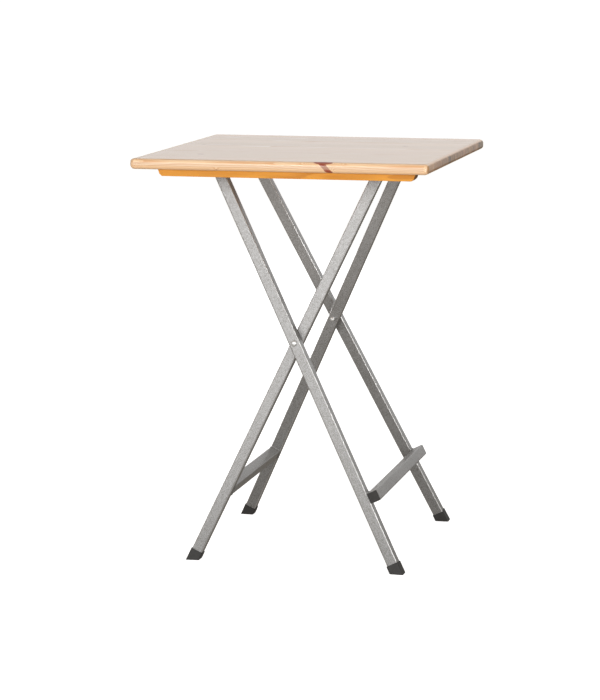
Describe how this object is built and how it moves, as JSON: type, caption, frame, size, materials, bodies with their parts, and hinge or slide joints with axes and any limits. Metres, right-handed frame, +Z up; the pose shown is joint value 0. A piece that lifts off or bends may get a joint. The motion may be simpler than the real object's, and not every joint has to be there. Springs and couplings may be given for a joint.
{
  "type": "folding table",
  "caption": "Tall folding table: a lacquered pine top on two crossed frames of silver square tube that pivot on each other, with black plastic feet.",
  "frame": {"origin": "on the floor, in the middle under the top", "axes": "+Z up, +X to the right along the front edge and the grain, +Y to the back; the pivots and the hinge axle run along Y"},
  "size_m": [0.8, 0.8, 1.1],
  "materials": {
    "pine_top": "clear satin lacquer on edge-glued pine staves",
    "pine_batten": "clear lacquer on a solid pine batten",
    "silver_paint": "silver metallic powder coat with a fine texture",
    "black_plastic": "moulded, fine grained",
    "zinc": "bright zinc plate",
    "nylon": "natural nylon"
  },
  "bodies": {
    "outer_frame": {"outer_leg_front": "silver_paint", "outer_leg_back": "silver_paint", "outer_foot_front": "black_plastic", "outer_foot_back": "black_plastic", "outer_crossbar": "silver_paint", "outer_crossbar_plug_front": "black_plastic", "outer_crossbar_plug_back": "black_plastic", "hinge_bar": "silver_paint", "hinge_bush_front": "nylon", "hinge_bush_back": "nylon", "outer_pivot_sleeve_front": "silver_paint", "outer_pivot_sleeve_back": "silver_paint", "pivot_washer_front": "zinc", "pivot_washer_back": "zinc", "pivot_bolt_front": "zinc", "pivot_bolt_back": "zinc", "pivot_nut_front": "zinc", "pivot_nut_back": "zinc"},
    "inner_frame": {"inner_leg_front": "silver_paint", "inner_leg_back": "silver_paint", "inner_foot_front": "black_plastic", "inner_foot_back": "black_plastic", "inner_crossbar": "silver_paint", "rest_bar": "silver_paint", "rest_bar_plug_front": "black_plastic", "rest_bar_plug_back": "black_plastic", "inner_pivot_sleeve_front": "silver_paint", "inner_pivot_sleeve_back": "silver_paint"},
    "axle": {"hinge_axle": "zinc", "axle_cap_front": "zinc", "axle_cap_back": "zinc"},
    "top": {"tabletop": "pine_top", "batten_front": "pine_batten", "batten_back": "pine_batten", "batten_screw_front_1": "zinc", "batten_screw_front_2": "zinc", "batten_screw_front_3": "zinc", "batten_screw_back_1": "zinc", "batten_screw_back_2": "zinc", "batten_screw_back_3": "zinc", "hinge_bracket_front": "zinc", "hinge_bracket_back": "zinc", "hinge_screw_front_1": "zinc", "hinge_screw_front_2": "zinc", "hinge_screw_back_1": "zinc", "hinge_screw_back_2": "zinc", "stop_angle_front": "zinc", "stop_angle_back": "zinc", "stop_screw_front_1": "zinc", "stop_screw_front_2": "zinc", "stop_screw_back_1": "zinc", "stop_screw_back_2": "zinc"}
  },
  "joints": [
    {"name": "leg_fold", "type": "hinge", "parent": "outer_frame", "child": "inner_frame", "pos_m": [0.006, 0, 0.6], "axis": [0, -1, 0], "range_deg": [0, 48]},
    {"name": "axle_turn", "type": "hinge", "parent": "outer_frame", "child": "axle", "pos_m": [-0.21699, 0, 1.052], "axis": [0, -1, 0], "range_deg": [0, 24]},
    {"name": "top_tilt", "type": "hinge", "parent": "axle", "child": "top", "pos_m": [-0.21699, 0, 1.052], "axis": [0, -1, 0], "range_deg": [0, 90]}
  ],
  "couplings": [
    {"joint": "axle_turn", "follows": "leg_fold", "ratio": 0.5}
  ]
}
